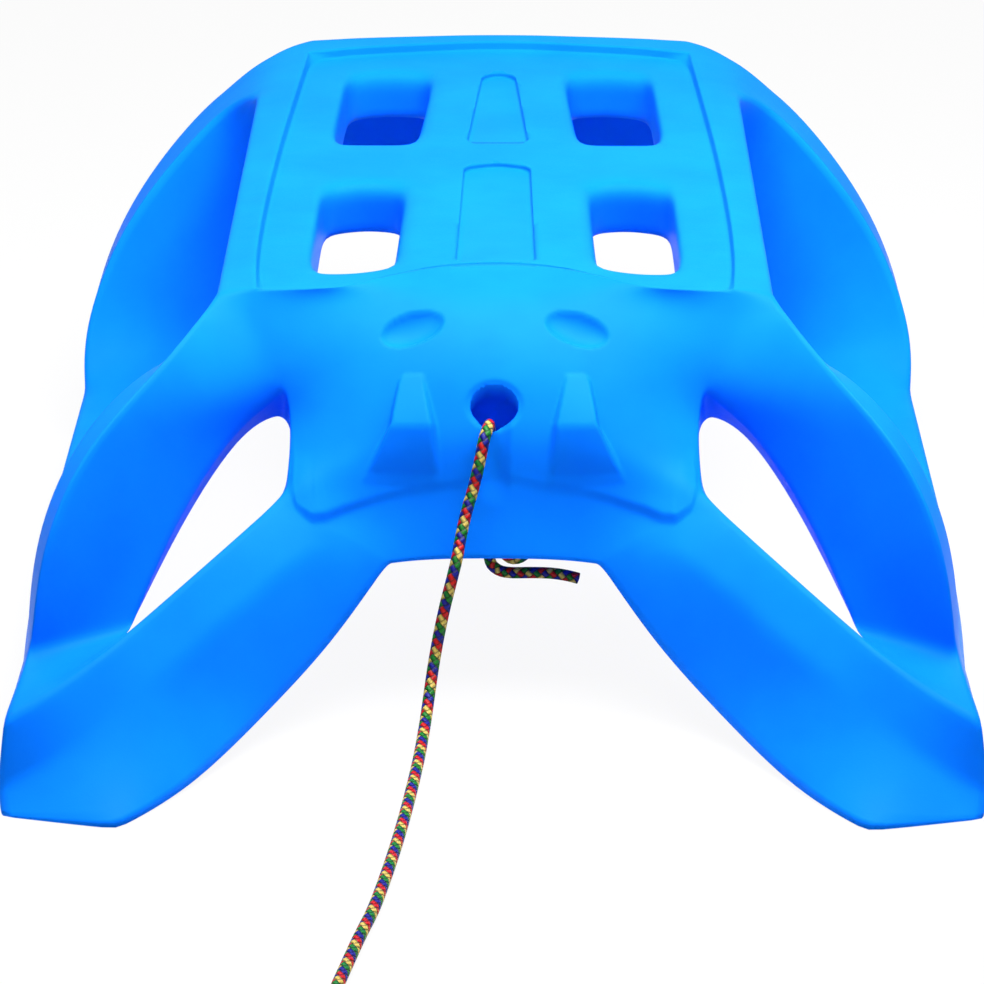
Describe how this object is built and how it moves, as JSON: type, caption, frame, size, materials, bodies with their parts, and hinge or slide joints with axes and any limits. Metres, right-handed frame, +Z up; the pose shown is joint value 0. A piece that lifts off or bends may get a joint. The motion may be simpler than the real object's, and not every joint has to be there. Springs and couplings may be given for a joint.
{
  "type": "plastic sled",
  "caption": "Moulded plastic sled with a slotted seat deck, curved handle arms, splayed front skis, low runners and a knotted tow rope.",
  "frame": {"origin": "centre of the hull's footprint, on the snow plane under the runners", "axes": "+Z up, +Y towards the rear of the deck, +X to the right seen from the front"},
  "size_m": [0.5728, 1.1994, 0.22],
  "materials": {
    "hull_plastic": "fine matt mould texture, through-coloured blue polyethylene",
    "rope_fabric": "braided polypropylene cord in red, blue, green and yellow yarn"
  },
  "bodies": {
    "root": {"sled_body": "hull_plastic", "tow_rope": "rope_fabric", "rope_coil": "rope_fabric", "stopper_knot": "rope_fabric", "end_knot": "rope_fabric"}
  },
  "joints": []
}
